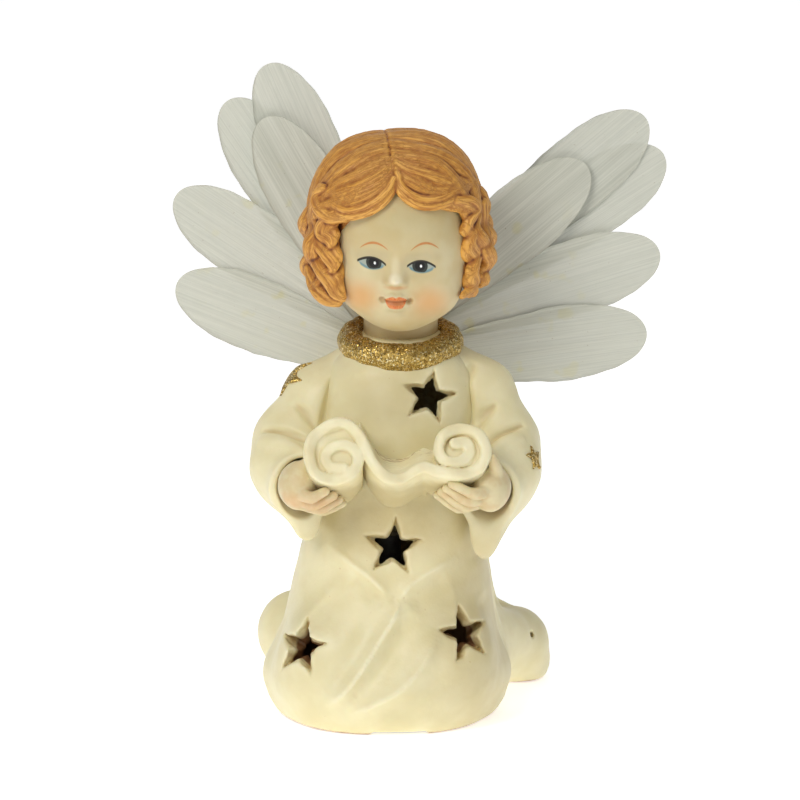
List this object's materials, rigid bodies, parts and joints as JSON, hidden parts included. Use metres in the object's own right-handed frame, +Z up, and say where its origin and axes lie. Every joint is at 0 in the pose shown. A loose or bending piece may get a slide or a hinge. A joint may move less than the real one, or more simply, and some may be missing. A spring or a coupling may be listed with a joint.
{
  "type": "angel figurine",
  "caption": "Kneeling winged figurine of hollow cast resin holding an open scroll, with star-shaped cut-outs and a battery light inside.",
  "frame": {"origin": "on the resting plane, at the middle of the robe's base", "axes": "+Z up, the figure faces -Y, its left arm and left wing are on the +X side"},
  "size_m": [0.1229, 0.0782, 0.1563],
  "materials": {
    "cream_resin": "ivory paint on cast resin, satin, faint brown wash in the creases",
    "painted_skin": "pale skin paint, satin, soft orange blush",
    "painted_hair": "orange-brown paint with a darker wash in the grooves, satin",
    "gold_glitter": "coarse gold glitter set in lacquer",
    "petal_film": "translucent white film with fine lengthwise streaks",
    "yellow_glue": "yellowed clear glue, glossy",
    "black_plastic": "moulded black plastic",
    "cell_steel": "nickel-plated steel",
    "contact_metal": "tinned spring strip",
    "board": "green circuit board",
    "clear_lamp": "milky clear plastic"
  },
  "bodies": {
    "figurine": {"robe_shell": "cream_resin", "left_sleeve": "cream_resin", "right_sleeve": "cream_resin", "scroll": "cream_resin", "head": "painted_skin", "left_hand": "painted_skin", "right_hand": "painted_skin", "hair": "painted_hair", "collar": "gold_glitter", "right_shoulder_star": "gold_glitter", "left_sleeve_star": "gold_glitter", "left_wing_petal_1": "petal_film", "left_wing_petal_2": "petal_film", "left_wing_petal_3": "petal_film", "left_wing_petal_4": "petal_film", "left_wing_petal_5": "petal_film", "right_wing_petal_1": "petal_film", "right_wing_petal_2": "petal_film", "right_wing_petal_3": "petal_film", "right_wing_petal_4": "petal_film", "right_wing_petal_5": "petal_film", "left_wing_glue": "yellow_glue", "right_wing_glue": "yellow_glue", "base_plate": "black_plastic", "lamp_housing": "black_plastic", "switch_body": "black_plastic", "battery_1": "cell_steel", "battery_2": "cell_steel", "battery_3": "cell_steel", "upper_contact": "contact_metal", "led_leg_1": "contact_metal", "led_leg_2": "contact_metal", "circuit_board": "board", "led_stem": "clear_lamp", "led_lens": "clear_lamp"},
    "battery_door": {"battery_door": "black_plastic", "lower_contact": "contact_metal"},
    "switch_knob": {"switch_knob": "black_plastic"}
  },
  "joints": [
    {"name": "door_twist", "type": "hinge", "parent": "figurine", "child": "battery_door", "pos_m": [-0.0015, -0.004, 0.0016], "axis": [0, 0, -1], "range_deg": [0, 30]},
    {"name": "switch_slide", "type": "slide", "parent": "figurine", "child": "switch_knob", "axis": [1, 0, 0], "range_m": [0, 0.002]}
  ]
}
